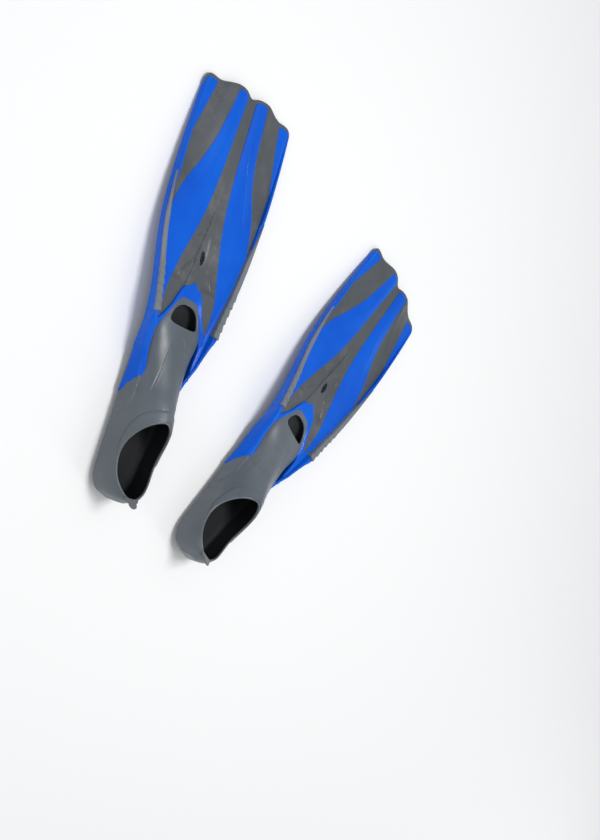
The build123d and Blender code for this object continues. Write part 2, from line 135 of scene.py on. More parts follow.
# ---- looks only ----
CREASE = ((425, 67), (437, 63.5), (470, 51.5), (501, 39.5), (520, 32), (537, 27), (555, 24),
          (600, 19), (625, 17))
CHANNEL_CREASE = ((500, 93), (514, 87.5), (549, 66), (572, 53), (590, 42), (625, 36))
LEAF = ((150, 30), (168, 27), (187, 23.5), (205, 19.5), (224, 16), (237, 12), (246, 7), (253, 0.5))
SIDE_CREASE = ((112, 22), (119, 25), (132, 31), (144, 35), (166, 34), (178, 34.5), (190, 37))
# short ribs beside the wedge: distance out, distance along, half length
SLITS = ((27.0, 347.0, 16.0), (17.8, 399.5, 6.5))
SLIT_TURN = math.radians(33)
TOOTH_H = 1.8
TOOTH_ROWS = (0.03, 0.12, 0.3, 0.5, 0.7, 0.84, 0.93, 0.975)
STRUT_BACK = 148.0          # rear end of the struts beside the pocket
STRUT_SHEAR = 30.0          # how far the strut's top edge stands ahead of its lower edge at the rear
STRUT_SINK = 0.75           # how far the strut's inner side sinks into the pocket's wall
BLADE_END = 620.0           # nominal last row of a slab, before it follows the tip line
TIP_FOLLOW = 140.0          # length over which the rows take up the tip line
ARCH_POINTS = 160
# section of the arch from its front edge to its root: share across, height
ARCH_ACROSS = (0, 0, 0, 0.012, 0.035, 0.07, 0.12, 0.2, 0.35, 0.55, 0.8, 1.0)
ARCH_HEIGHT = (-1, -0.55, 0.35, 0.62, 0.8, 0.92, 1.0, 1.02, 0.95, 0.75, 0.45, 0.1)
RIM_POINTS = 300
TOE_POINTS = 150
TRIM_POINTS = 230
TRIM_DEEP = 9.5             # how far the tip edge overlaps the slabs behind it
# rounded nose of the tip edge: distance in from the edge, share of its half thickness
TRIM_NOSE = ((0.15, 0.55), (0.6, 0.88), (1.3, 1.0))

# ---- view and light ----
LENS = 55.714
CAMERA_PLACE = (-1.355, -0.555, 1.403)
CAMERA_RIGHT = (0.492, 0.474, 0.730)
CAMERA_UP = (-0.492, 0.843, -0.216)
# place, point aimed at, size, power
LIGHTS = {
    "key": ((-0.15, 0.3, 2.4), (0, 0.0, 0.03), (0.8, 0.8), 33),
    "fill": ((-2.2, -1.2, 1.6), (0, 0.0, 0.03), (1.8, 1.8), 13),
    "strip": ((1.8, -0.6, 1.3), (0, 0.1, 0.03), (0.4, 2.0), 8),
}
WORLD_LIGHT = 0.46
FLOOR_HALF = 14.0


def along(keys, y):
    """Smoothly joined value of a profile at each y, flat beyond its ends, as in the CAD."""
    k = np.array(keys, float)
    n = len(k)
    j = np.arange(n)
    a, b = np.maximum(j - 1, 0), np.minimum(j + 1, n - 1)
    slope = (k[b, 1] - k[a, 1]) / (k[b, 0] - k[a, 0])
    y = np.clip(np.asarray(y, float), k[0, 0], k[-1, 0])
    i = np.clip(np.searchsorted(k[:, 0], y, side="left") - 1, 0, n - 2)
    span = k[i + 1, 0] - k[i, 0]
    t = (y - k[i, 0]) / span
    low = (1 + 2 * t) * (1 - t) ** 2 * k[i, 1] + t * (1 - t) ** 2 * span * slope[i]
    return low + t * t * (3 - 2 * t) * k[i + 1, 1] + t * t * (t - 1) * span * slope[i + 1]


def ease(t):
    """Smooth step from 0 to 1."""
    t = np.clip(t, 0, 1)
    return t * t * (3 - 2 * t)


def deck(x, y):
    """Middle height of the blade sheet."""
    u = np.minimum(np.abs(x) / along(RAIL_OUT, y), 1.0)
    wave = 0.5 - 0.5 * np.cos(2 * math.pi * np.minimum(u / RIPPLE_SPAN, 1.0))
    lift = np.maximum(0.0, (u - EDGE_LIFT_FROM) / (1 - EDGE_LIFT_FROM)) * EDGE_LIFT
    return along(DECK_Z, y) + along(DISH, y) * u * u + along(RIPPLE, y) * (wave + lift - EDGE_LIFT)


def sheet_top(x, y):
    return deck(x, y) + along(SHEET_T, y) / 2


def sheet_low(x, y):
    return deck(x, y) - along(SHEET_T, y) / 2


def tip_line(x):
    return along(TIP_EDGE, np.abs(x))


def rail_inner(y):
    """Distance of the rail's inner side from the centre line."""
    return along(RAIL_OUT, y) - along(RAIL_T, y) - np.maximum(along(RAIL_LEAN, y), 0) * 0.5


# ---- making meshes ----
def build(name, verts, faces, side, mats, slots=None, sharp=32.0):
    """A closed mesh of millimetre points set in place for one fin."""
    tight = 1e-6
    v = np.asarray(verts, float) * MM
    a = math.radians(-side * TOE_OUT)
    x = v[:, 0] * math.cos(a) - v[:, 1] * math.sin(a) + side * HEEL_SPACING / 2 * MM
    y = v[:, 0] * math.sin(a) + v[:, 1] * math.cos(a) + PAIR_SHIFT_Y * MM
    mesh = bpy.data.meshes.new(name)
    mesh.from_pydata(np.stack([x, y, v[:, 2]], 1).tolist(), [], [list(f) for f in faces])
    for m in mats:
        mesh.materials.append(m)
    if slots is not None:
        mesh.polygons.foreach_set("material_index", np.asarray(slots, np.int32))
    bm = bmesh.new()
    bm.from_mesh(mesh)
    bmesh.ops.remove_doubles(bm, verts=bm.verts, dist=tight)
    bmesh.ops.dissolve_degenerate(bm, edges=bm.edges, dist=tight)
    bmesh.ops.recalc_face_normals(bm, faces=bm.faces)
    bm.to_mesh(mesh)
    bm.free()
    mesh.shade_smooth()
    mesh.set_sharp_from_angle(angle=math.radians(sharp))
    obj = bpy.data.objects.new(name, mesh)
    bpy.context.scene.collection.objects.link(obj)
    return obj


def loft(rings):
    """Closed skin through rings of equal length, with a fan at each end."""
    rings = np.asarray(rings, float)
    rows, cols = rings.shape[:2]
    verts = np.concatenate([rings.reshape(-1, 3), rings[0].mean(0)[None], rings[-1].mean(0)[None]])
    faces = []
    for i in range(rows - 1):
        for j in range(cols):
            a, b = i * cols + j, i * cols + (j + 1) % cols
            faces.append((a, b, b + cols, a + cols))
    for j in range(cols):
        faces.append((j, (j + 1) % cols, rows * cols))
        faces.append(((rows - 1) * cols + j, (rows - 1) * cols + (j + 1) % cols, rows * cols + 1))
    return verts, faces


def merged(*parts):
    verts, faces, n = [], [], 0
    for v, f in parts:
        verts.append(np.asarray(v, float))
        faces += [tuple(i + n for i in q) for q in f]
        n += len(v)
    return np.concatenate(verts), faces


def mirrored(part):
    v, f = part
    return np.asarray(v) * np.array([-1.0, 1.0, 1.0]), [tuple(reversed(q)) for q in f]


def arc(points):
    """Distance along a line of points, from its first one."""
    return np.concatenate([[0], np.cumsum(np.linalg.norm(np.diff(points, axis=0), axis=1))])


def spaced(points, count, closed=False):
    """The same line or loop with evenly spaced points."""
    p = np.vstack([points, points[:1]]) if closed else np.asarray(points, float)
    s = arc(p)
    u = np.linspace(0, s[-1], count + 1)[:-1] if closed else np.linspace(0, s[-1], count)
    return np.stack([np.interp(u, s, p[:, k]) for k in range(p.shape[1])], 1)


def soft_loop(p, passes):
    for _ in range(passes):
        p = (np.roll(p, 1, 0) + 2 * p + np.roll(p, -1, 0)) / 4
    return p


def soft_line(p, passes):
    for _ in range(passes):
        p[1:-1] = (p[:-2] + 2 * p[1:-1] + p[2:]) / 4
    return p


def units(v):
    return v / np.linalg.norm(v, axis=1)[:, None]


def rounded(points, radii, seg=4):
    """Closed outline of 3-D points with its corners rounded, always the same count of points."""
    p = np.asarray(points, float)
    n = len(p)
    out = []
    for i in range(n):
        a, b, c = p[i - 1], p[i], p[(i + 1) % n]
        la, lc = np.linalg.norm(a - b), np.linalg.norm(c - b)
        r = min(radii[i], la * 0.48, lc * 0.48)
        s, e = b + (a - b) / max(la, 1e-9) * r, b + (c - b) / max(lc, 1e-9) * r
        for k in range(seg + 1):
            t = k / seg
            out.append((1 - t) ** 2 * s + 2 * t * (1 - t) * b + t * t * e)
    return np.array(out)


def tube(centre, reach, radius, seg=12):
    """Closed tube round a loop; reach is the direction of each ring's first axis."""
    c = np.asarray(centre, float)
    t = units(np.roll(c, -1, 0) - np.roll(c, 1, 0))
    e1 = np.asarray(reach, float)
    e1 = units(e1 - (e1 * t).sum(1)[:, None] * t)
    e2 = np.cross(t, e1)
    rad = np.broadcast_to(np.asarray(radius, float), (len(c),))
    a = 2 * math.pi * np.arange(seg) / seg
    circle = e1[:, None] * np.cos(a)[None, :, None] + e2[:, None] * np.sin(a)[None, :, None]
    verts = (c[:, None] + rad[:, None, None] * circle).reshape(-1, 3)
    n = len(c)
    faces = []
    for i in range(n):
        for j in range(seg):
            a0, b0 = i * seg + j, i * seg + (j + 1) % seg
            a1, b1 = (i + 1) % n * seg + j, (i + 1) % n * seg + (j + 1) % seg
            faces.append((a0, b0, b1, a1))
    return verts, faces


def edge_steps(r):
    th = np.linspace(0, math.pi / 2, 5)
    return r * (1 - np.cos(th))


def drop(d, r):
    """How far a rounded edge has fallen at distance d from it."""
    q = np.clip(r - d, 0, r)
    return r - np.sqrt(np.maximum(r * r - q * q, 0))


def ribbon(rows, low, high, top, bottom, cols, r=0.6, start_in=None, end_in=None, hole=None,
           reach=None):
    """Closed slab between two edges with rounded sides.

    rows are nominal y; reach(x, y) gives the real y, so that a slab can follow the tip line.
    start_in and end_in are corner radii in plan. hole is (centre x, centre y, half x, half y)."""
    reach = reach or (lambda x, y: y)
    rows = np.asarray(rows, float)
    n = len(rows)
    span = np.abs(rows - rows[0])
    left = np.abs(rows[-1] - rows)
    inset = np.zeros(n)
    for dist, radius in ((span, start_in), (left, end_in)):
        if radius:
            inset += drop(dist, radius)
    yl, yh = rows.copy(), rows.copy()
    for _ in range(3):
        xl, xh = low(yl), high(yh)
        yl, yh = reach(xl, rows), reach(xh, rows)
    xl, xh = xl + inset, xh - inset
    width = np.maximum(xh - xl, 0.02)
    rr = np.minimum(r, width / 3)
    e = edge_steps(1.0)
    mid = np.linspace(0, 1, cols)[1:-1]
    frac = np.concatenate([e, mid, 1 - e[::-1]])
    kind = np.concatenate([np.zeros(len(e)), np.ones(len(mid)), np.full(len(e), 2)])
    near_side = rr[:, None] * frac
    middle = rr[:, None] + (width - 2 * rr)[:, None] * frac
    far_side = width[:, None] - rr[:, None] * (1 - frac)
    d = np.where(kind == 0, near_side, np.where(kind == 1, middle, far_side))
    x = xl[:, None] + d
    y = reach(x, np.broadcast_to(rows[:, None], x.shape))
    fall = drop(np.minimum(d, width[:, None] - d), rr[:, None])
    if start_in:
        fall = np.maximum(fall, drop(span, r)[:, None])
    if end_in:
        fall = np.maximum(fall, drop(left, r)[:, None])
    keep = np.ones((n - 1, x.shape[1] - 1), bool)
    if hole:
        hx, hy, ha, hb = hole
        q = np.sqrt(((x - hx) / ha) ** 2 + ((y - hy) / hb) ** 2)
        near = np.abs(q - 1) * np.sqrt(ha * hb) < 0.9
        k = np.where(near, 1 / np.maximum(q, 1e-6), 1)
        x, y = hx + (x - hx) * k, hy + (y - hy) * k
        q = np.where(near, 1.0, q)
        cx = (q[:-1, :-1] + q[1:, :-1] + q[:-1, 1:] + q[1:, 1:]) / 4
        keep = cx > 0.999
    zt = top(x, y) - fall
    zb = np.minimum(bottom(x, y) + fall * 0.6, zt - 0.05)
    c = x.shape[1]
    verts = np.concatenate([np.stack([x, y, z], 2).reshape(-1, 3) for z in (zt, zb)])
    off = n * c
    faces = []
    idx = np.arange(n * c).reshape(n, c)
    for i in range(n - 1):
        for j in range(c - 1):
            if keep[i, j]:
                q4 = (idx[i, j], idx[i, j + 1], idx[i + 1, j + 1], idx[i + 1, j])
                faces.append(q4)
                faces.append(tuple(off + k for k in reversed(q4)))
    pad = np.zeros((n + 1, c + 1), bool)
    pad[1:-1, 1:-1] = keep
    for i in range(n):
        for j in range(c - 1):
            if pad[i, j + 1] != pad[i + 1, j + 1]:
                a, b = idx[i, j], idx[i, j + 1]
                faces.append((a, b, off + b, off + a))
    for i in range(n - 1):
        for j in range(c):
            if pad[i + 1, j] != pad[i + 1, j + 1]:
                a, b = idx[i, j], idx[i + 1, j]
                faces.append((a, b, off + b, off + a))
    return verts, faces


def graded(start, end, step, fine_start=True, fine_end=True):
    """Rows along the fin, closer together at rounded ends."""
    fine = np.array([0, 0.08, 0.3, 0.65, 1.1, 1.8, 2.7, 3.8])
    a = start + fine if fine_start else np.array([start])
    b = end - fine[::-1] if fine_end else np.array([end])
    count = max(2, int((b[0] - a[-1]) / step) + 1)
    return np.concatenate([a, np.linspace(a[-1], b[0], count + 1)[1:-1], b])


# ---- foot pocket ----
def half_section(y, grow, floor, roof, count, rim=None):
    """Right half of the pocket's section from its top (or its rim) down to the middle of the sole."""
    half = float(along(FOOT_W, y)) + grow
    low = float(along(FOOT_LOW, y)) + floor
    top = float(along(FOOT_TOP, y)) + roof
    mid = low + (top - low) * WIDEST_AT
    sharp = float(along(FOOT_SHARP, y))
    a = np.linspace(math.pi / 2, -math.pi / 2, 721)
    c, s = np.clip(np.cos(a), 0, 1), np.sin(a)
    p = np.where(s > 0, sharp, SOLE_SHARP)
    x = half * c ** p
    z = mid + np.where(s > 0, top - mid, mid - low) * np.sign(s) * np.abs(s) ** p
    if rim is not None and rim < top:
        k = int(np.argmax(z <= rim))
        if k > 0:
            t = (z[k - 1] - rim) / max(z[k - 1] - z[k], 1e-9)
            x0 = x[k - 1] + (x[k] - x[k - 1]) * t
            x, z = np.concatenate([[x0], x[k:]]), np.concatenate([[rim], z[k:]])
    d = np.concatenate([[0], np.cumsum(np.hypot(np.diff(x), np.diff(z)))])
    u = np.linspace(0, d[-1], count)
    return np.interp(u, d, x), np.interp(u, d, z)


def rim_ends(roof):
    """Where the rim line meets the top of the section, at the back and at the front."""
    ys = np.linspace(1, 134, 5000)
    gap = along(FOOT_TOP, ys) + roof - along(RIM, ys)
    inside = np.where(gap > 0)[0]
    return ys[inside[0]], ys[inside[-1]]


def pocket_rows(roof, open_rows, step, first, last):
    a, b = rim_ends(roof)
    u = np.linspace(0, math.pi, open_rows)
    mouth = a + (b - a) * (1 - np.cos(u)) / 2
    back = np.linspace(first, a, 7)[:-1]
    front = np.arange(b, last, step)[1:]
    return np.concatenate([back, mouth, front, [last]]), len(back), len(back) + open_rows


def top_z(x, y, grow=0.0, floor=0.0, roof=0.0):
    """Height of the pocket's upper surface above a point."""
    half, low, top = along(FOOT_W, y) + grow, along(FOOT_LOW, y) + floor, along(FOOT_TOP, y) + roof
    mid = low + (top - low) * WIDEST_AT
    p = along(FOOT_SHARP, y)
    u = np.clip(np.abs(x) / half, 0, 1)
    return mid + (top - mid) * np.maximum(1 - u ** (2 / p), 0) ** (p / 2)


def halfway(y, floor, roof):
    return (along(FOOT_LOW, y) + floor + along(FOOT_TOP, y) + roof) / 2


def toe_outline(count):
    """D outline of the toe opening with rounded rear corners."""
    k = np.linspace(0, math.pi, 60)
    x = TOE_HALF * np.sign(np.cos(k)) * np.abs(np.cos(k)) ** 0.8
    y = TOE_BACK + (TOE_FRONT - TOE_BACK) * np.sin(k)
    back = np.linspace(-1, 1, 30)[1:-1]
    bx = back * TOE_HALF * 0.9
    by = TOE_BACK - 2.6 + 1.2 * back ** 2
    pts = np.stack([np.concatenate([x, bx]), np.concatenate([y, by])], 1)
    return spaced(soft_loop(pts, 6), count, True)


def inside_loop(loop, x, y):
    a, b = loop, np.roll(loop, -1, 0)
    hit = np.zeros(x.shape, bool)
    for (x0, y0), (x1, y1) in zip(a, b):
        cross = ((y0 > y) != (y1 > y)) & (x < (x1 - x0) * (y - y0) / (y1 - y0 + 1e-12) + x0)
        hit ^= cross
    return hit


def line_off(value, keys, y):
    """Distance of a value from a drawn line, measured square to the line."""
    y0, y1 = keys[0][0], keys[-1][0]
    ys = np.linspace(y0, y1, int(y1 - y0) + 1)
    slope = np.interp(np.clip(y, y0, y1), ys, np.gradient(along(keys, ys), 1.0))
    return (value - along(keys, y)) / np.sqrt(1 + slope * slope)


def groove(off, wide):
    return np.exp(-(off / wide) ** 2)


def relief(x, y, z, top):
    """How far the outer surface stands out from the plain section: collar, leaf on the instep,
    crease along the side and seam above the sole."""
    low = along(FOOT_LOW, y)
    above = line_off(z, COLLAR_LINE, y)
    fade = ease((y - 56) / 10)
    collar = 1.5 * ease(above / 1.3 + 0.5) * fade * (y < 150)
    collar = collar - 0.5 * groove(above + 0.9, 0.7) * fade * (y < 152)
    dist = line_off(np.abs(x), LEAF, y)
    on_top = ease((y - 150) / 22) * (y < 262) * (z > low + (top - low) * 0.3) * np.where(y > 253, 0, 1)
    leaf = (-1.0 * groove(dist, 0.8) - 0.9 * ease(-dist / 3.0)) * on_top
    step = line_off(z, SIDE_CREASE, y)
    gate = ease((y - 112) / 14) * ease((190 - y) / 10) * (np.abs(x) > 20)
    crease = (1.3 * ease(-step / 2.2 + 0.4) * ease((step + 11) / 9) - 0.35 * groove(step - 0.4, 0.7)) * gate
    seam = -0.35 * groove(z - low - 4.2, 0.55) * ease((y - 4) / 8) * ease((236 - y) / 14)
    return (collar + leaf + crease) * ease((z - 8) / 6) + seam


def skin_grid(grow, floor, roof, open_rows, step, count, first, last, detailed):
    rows, i0, i1 = pocket_rows(roof, open_rows, step, first, last)
    pts = []
    for i, y in enumerate(rows):
        rim = float(along(RIM, y)) if i0 <= i < i1 else None
        x, z = half_section(y, grow, floor, roof, count, rim)
        if i in (i0, i1 - 1):
            x = x.copy()
            x[0] = 0.0
        if detailed:
            top = float(along(FOOT_TOP, y)) + roof
            tx, tz = np.gradient(x), np.gradient(z)
            length = np.maximum(np.hypot(tx, tz), 1e-9)
            nx, nz = -tz / length, tx / length
            flip = np.where(nx * np.maximum(x, 0.01) + nz * (z - (z[0] + z[-1]) / 2) < 0, -1, 1)
            nx, nz = nx * flip, nz * flip
            r = relief(x, np.full_like(x, y), z, top)
            if rim is None:
                r[0] = r[1]
            nx[0] = nx[0] if rim is not None else 0.0
            nx[-1] = 0.0
            x, z = x + nx * r, z + nz * r
            if i0 < i < i1 - 1:
                z[0] = rim
            elif rim is not None:
                x[0] = 0.0
        full_x = np.concatenate([x, -x[::-1][1:]])
        full_z = np.concatenate([z, z[::-1][1:]])
        pts.append(np.stack([full_x, np.full_like(full_x, y), full_z], 1))
    pts = np.array(pts)
    right = pts[i0:i1, 0]
    left = pts[i0:i1, -1][::-1][1:-1]
    return pts, i0, i1, np.concatenate([right, left])


def pocket_skin(grow, floor, roof, open_rows, step, count, first, last, detailed, toe, ends):
    """One skin of the pocket, open at the ankle and at the toes."""
    pts, i0, i1, rim_loop = skin_grid(grow, floor, roof, open_rows, step, count, first, last, detailed)
    for dy, k in ends:
        row = pts[0] if dy < 0 else pts[-1]
        c = row.mean(0)
        new = c + (row - c) * k
        new[:, 1] = (first if dy < 0 else last) + dy
        pts = np.concatenate([new[None], pts]) if dy < 0 else np.concatenate([pts, new[None]])
        if dy < 0:
            i0, i1 = i0 + 1, i1 + 1
    rows, cols = pts.shape[:2]
    x, y, z = pts[..., 0].copy(), pts[..., 1].copy(), pts[..., 2].copy()
    up = z > halfway(y, floor, roof)
    d = np.full(x.shape, 1e9)
    who = np.zeros(x.shape, int)
    zone = up & (np.abs(y - 285) < 26) & (np.abs(x) < 36)
    zi = np.where(zone)
    if len(zi[0]):
        diff = np.hypot(x[zi][:, None] - toe[None, :, 0], y[zi][:, None] - toe[None, :, 1])
        who[zi] = diff.argmin(1)
        d[zi] = diff.min(1)
    snap = d < step * 0.62
    x = np.where(snap, toe[who, 0], x)
    y = np.where(snap, toe[who, 1], y)
    z = np.where(snap, top_z(x, y, grow, floor, roof), z)
    pts = np.stack([x, y, z], 2)
    faces = []
    cen = (pts[:-1, :-1] + pts[1:, :-1] + pts[:-1, 1:] + pts[1:, 1:]) / 4
    cut = inside_loop(toe, cen[..., 0], cen[..., 1]) & (cen[..., 2] > halfway(cen[..., 1], floor, roof))
    for i in range(rows - 1):
        for j in range(cols - 1):
            if not cut[i, j]:
                a = i * cols + j
                faces.append((a, a + 1, a + 1 + cols, a + cols))
    verts = pts.reshape(-1, 3)
    n = len(verts)
    verts = np.concatenate([verts, pts[0].mean(0)[None], pts[-1].mean(0)[None]])
    for j in range(cols - 1):
        faces.append((j, j + 1, n))
        faces.append(((rows - 1) * cols + j, (rows - 1) * cols + j + 1, n + 1))
    return verts, faces, rim_loop


def foot_pocket():
    toe = toe_outline(TOE_POINTS)
    outer = pocket_skin(0, 0, 0, 110, 1.5, 92, 0.4, 305.5, True, toe,
                        ((-0.7, 0.93), (-1.2, 0.78), (-1.5, 0.5), (1.6, 0.94), (2.5, 0.8)))
    # the inner skin gets the second material slot, a near-black colour that paints the shade inside the
    # pocket
    inner = pocket_skin(-WALL, SOLE_WALL, -WALL, 80, 2.6, 56, 4.5, 300.5, False, toe, ())
    a, b = spaced(outer[2], RIM_POINTS, True), spaced(inner[2], RIM_POINTS, True)
    radius = np.linalg.norm(a - b, axis=1) / 2 + 0.25
    lip = tube(soft_loop((a + b) / 2, 3) - np.array([0, 0, 0.5]), a - b, np.clip(radius, 1.6, 2.4), 14)
    x, y = toe[:, 0], toe[:, 1]
    e = 0.3
    slope_x = (top_z(x + e, y) - top_z(x - e, y)) / (2 * e)
    slope_y = (top_z(x, y + e) - top_z(x, y - e)) / (2 * e)
    normal = units(np.stack([-slope_x, -slope_y, np.ones_like(x)], 1))
    ring = soft_loop(np.stack([x, y, top_z(x, y)], 1) - normal * WALL / 2, 8)
    toe_lip = tube(ring, normal, WALL / 2 + 0.25, 12)
    v, f = merged(outer[:2], inner[:2], lip, toe_lip)
    slots = [0] * len(outer[1]) + [1] * len(inner[1]) + [0] * (len(lip[1]) + len(toe_lip[1]))
    return v, f, slots


# ---- stiff blue skeleton ----
def cap_depth(y):
    """How far the rail's top sinks under its rubber cap."""
    return CAP_T * ease((y - CAP_BACK + 0.6) / 0.6) * ease((CAP_FRONT + 4 - y) / 14)


def side_x(y, z):
    """Half width of the pocket's outer surface at a height."""
    half, low, top = (float(along(keys, y)) for keys in (FOOT_W, FOOT_LOW, FOOT_TOP))
    mid = low + (top - low) * WIDEST_AT
    if z > mid:
        share, p = (z - mid) / (top - mid), float(along(FOOT_SHARP, y))
    else:
        share, p = (mid - z) / (mid - low), SOLE_SHARP
    return half * max(1 - min(share, 1) ** (2 / p), 0) ** (p / 2)


def rail_ring(y, slant, cap):
    """Section of the strut and rail; slant shears it where the strut's rear end is cut at an angle."""
    y_low, y_top = y, y + slant * STRUT_SHEAR
    out, out_t = float(along(RAIL_OUT, y_low)), float(along(RAIL_OUT, y_top))
    lean_l, lean_t = float(along(RAIL_LEAN, y_low)), float(along(RAIL_LEAN, y_top))
    thick, bevel = float(along(RAIL_T, y)), float(along(RAIL_BEVEL, y_top))
    low, top = float(along(RAIL_LOW, y_low)), float(along(RAIL_TOP, y_top)) - cap
    foot, head = out - max(lean_l, 0), out_t + min(lean_t, 0)
    yb = y_top - slant * bevel
    edge = head - bevel * 0.75
    y_mid, mid, face = (y_low + y_top) / 2, (low + top) / 2, (foot + head) / 2
    in_low = max(foot - thick, min(side_x(y_low, low) - STRUT_SINK, foot - 1.5))
    in_mid = max(face - thick, min(side_x(y_mid, mid) - STRUT_SINK, face - 1.5))
    in_top = max(head - thick, min(side_x(y_top, top) - STRUT_SINK, edge - 1.2))
    pts = [(in_low, y_low, low), (foot, y_low, low), (head, yb, top - bevel), (edge, y_top, top),
           (in_top, y_top, top), (in_mid, y_mid, mid)]
    return rounded(pts, [1.2, 2.0, 1.3, 1.3, 1.2, 3.0], 4)


def skeleton_rail():
    tip = float(tip_line(96.0)) - TRIM
    ys = np.concatenate([np.linspace(STRUT_BACK, 216, 24)[:-1], np.arange(216, CAP_BACK - 1, 3.0),
                         [CAP_BACK - 0.7, CAP_BACK - 0.5, CAP_BACK],
                         np.arange(CAP_BACK + 3, tip - 3, 3.0), [tip - 1.2, tip - 0.5]])
    rings = []
    for y in ys:
        slant = 1 - float(ease((y - 150) / 62))
        rings.append(rail_ring(y, slant, float(cap_depth(y))))
    rings = np.array(rings)
    for dy, k in ((-0.5, 0.96), (-0.9, 0.86)):
        c = rings[0].mean(0)
        r = c + (rings[0 if dy == -0.5 else 1] - c) * k + np.array([0, dy, 0])
        rings = np.concatenate([r[None], rings])
    for dy, k in ((0.3, 0.93), (0.5, 0.78)):
        c = rings[-1].mean(0)
        rings = np.concatenate([rings, (c + (rings[-1] - c) * k + np.array([0, dy, 0]))[None]])
    return loft(rings)


def fold(x, y, keys, height, wide, start, end):
    """A soft crease that runs along a line drawn on the blade."""
    d = np.sqrt((np.abs(x) - along(keys, y)) ** 2 + 0.8 ** 2) - 0.8
    return height * np.maximum(1 - d / wide, 0) ** 1.15 * ease((y - start) / 40) * ease((end - y) / 22)


def rib_top(x, y):
    """Top of the stiff ribs, with their crease and their rise beside the rail."""
    near_rail = np.clip((5 - (rail_inner(y) - np.abs(x))) / 5, 0, 1) ** 2 * 1.6
    return sheet_top(x, y) + 0.12 + fold(x, y, CREASE, 1.3, 17, 405, 640) + near_rail


def crest(keys, y0, y1, radius):
    """Fine rounded ridge along the top of a fold, fading out at both ends."""
    ys = np.linspace(y0, y1, 90)
    xs = along(keys, ys)
    fade = ease(np.minimum(ys - y0, y1 - ys) / 26.0)
    path = np.stack([xs, ys, rib_top(xs, ys) - radius * (1.35 - 0.75 * fade)], 1)
    tang = units(np.gradient(path, axis=0))
    side = units(np.cross(tang, [0, 0, 1.0]))
    up = np.cross(side, tang)
    a = np.linspace(0, 2 * math.pi, 11)[:-1]
    wide, tall = np.cos(a) * radius * 1.5, np.sin(a) * radius
    return loft(path[:, None] + side[:, None] * wide[None, :, None] + up[:, None] * tall[None, :, None])


def blade_reach(cut):
    """Lets the last rows of a slab follow the tip line, a cut short of it."""
    def reach(x, y):
        k = np.clip((y - BLADE_END + TIP_FOLLOW) / TIP_FOLLOW, 0, 1) ** 2
        return y + (tip_line(x) - cut - BLADE_END) * k
    return reach


def blue_strip():
    """Wide stiff rib from beside the pocket to the tip."""
    def low(y):
        blend_in = ease((y - 250) / 14)
        return (along(FOOT_W, y) - 4) * (1 - blend_in) + along(INNER_EDGE, y) * blend_in

    def high(y):
        wide = rail_inner(y) + 1.6
        return np.where(y < 396, wide, np.minimum(along(OUTER_EDGE, y), wide))
    rows = graded(196, BLADE_END, 3.0, False, True)
    return ribbon(rows, low, high, rib_top, sheet_low, 26, 0.55, None, 4.0, None, blade_reach(TRIM))


def side_strip():
    """Narrow stiff rib beside the rail, near the tip."""
    def low(y):
        return np.minimum(along(SIDE_EDGE, y), rail_inner(y) + 1.2)

    def high(y):
        return rail_inner(y) + 2.2
    rows = graded(500, BLADE_END, 3.0, False, True)
    return ribbon(rows, low, high, rib_top, sheet_low, 12, 0.55, None, 2.2, None, blade_reach(TRIM))


def arch():
    """Raised band round the front of the pocket."""
    edge, inner = list(ARCH_EDGE) + [ARCH_END[0]], list(ARCH_ROOT) + [ARCH_END[1]]
    full = [(-x, y) for x, y in reversed(edge)] + edge[1:]
    root = [(-x, y) for x, y in reversed(inner)] + inner[1:]
    pair = soft_line(spaced([(a[0], a[1], b[0], b[1]) for a, b in zip(full, root)], ARCH_POINTS), 7)
    rings = []
    for k, (ax, ay, bx, by) in enumerate(pair):
        rise = (ARCH_RISE + 1.0) * float(ease(min(k, ARCH_POINTS - 1 - k) / 30.0)) - 0.8
        w, h = np.array(ARCH_ACROSS), np.array(ARCH_HEIGHT)
        x, y = ax + (bx - ax) * w, ay + (by - ay) * w
        base = sheet_top(np.full_like(x, ax), np.full_like(x, ay)) * (1 - w) + sheet_top(x, y) * w
        z = base + np.where(h > 0, h * rise, h * 2.4)
        w = np.array([1.0, 0.6, 0.3, 0.0])
        lx, ly = ax + (bx - ax) * w, ay + (by - ay) * w
        floor = np.maximum(np.interp(w, [0, 1], [base[0], base[-1]]) - 3.8, top_z(lx, ly) - 1.2)
        floor = np.minimum(floor, np.interp(w, [0, 1], [z[6], z[-1]]) - 0.3)
        rings.append(np.concatenate([np.stack([x, y, z], 1), np.stack([lx, ly, floor], 1)]))
    return loft(np.array(rings))


# ---- soft pieces of the blade ----
def insert_top(x, y):
    """Top of the centre moulding: wedge, trough round the drain hole, vee and short ribs."""
    half = along(RIDGE_HALF, y)
    wedge = RIDGE_H * ease((half - np.abs(x)) / 1.5 + 0.15) * ease((462 - y) / 24)
    trough = 1.1 * ease(1.9 - 1.9 * np.sqrt((x / 8.2) ** 2 + ((y - 379) / 31.0) ** 2))
    vee = 0.9 * np.maximum(1 - np.abs(x) / 12, 0) * ease((y - 430) / 50) * ease((640 - y) / 40)
    ribs = 0
    for sx, sy, half_long in SLITS:
        u = (y - sy) * math.cos(SLIT_TURN) - (np.abs(x) - sx) * math.sin(SLIT_TURN)
        v = (np.abs(x) - sx) * math.cos(SLIT_TURN) + (y - sy) * math.sin(SLIT_TURN)
        bow = v - 1.1 * (1 - (u / half_long) ** 2)
        ribs = ribs + 1.35 * ease((1.25 - np.abs(bow)) / 0.7) * ease((half_long - np.abs(u)) / 3)
    return sheet_top(x, y) - 0.1 + wedge - trough + vee + ribs


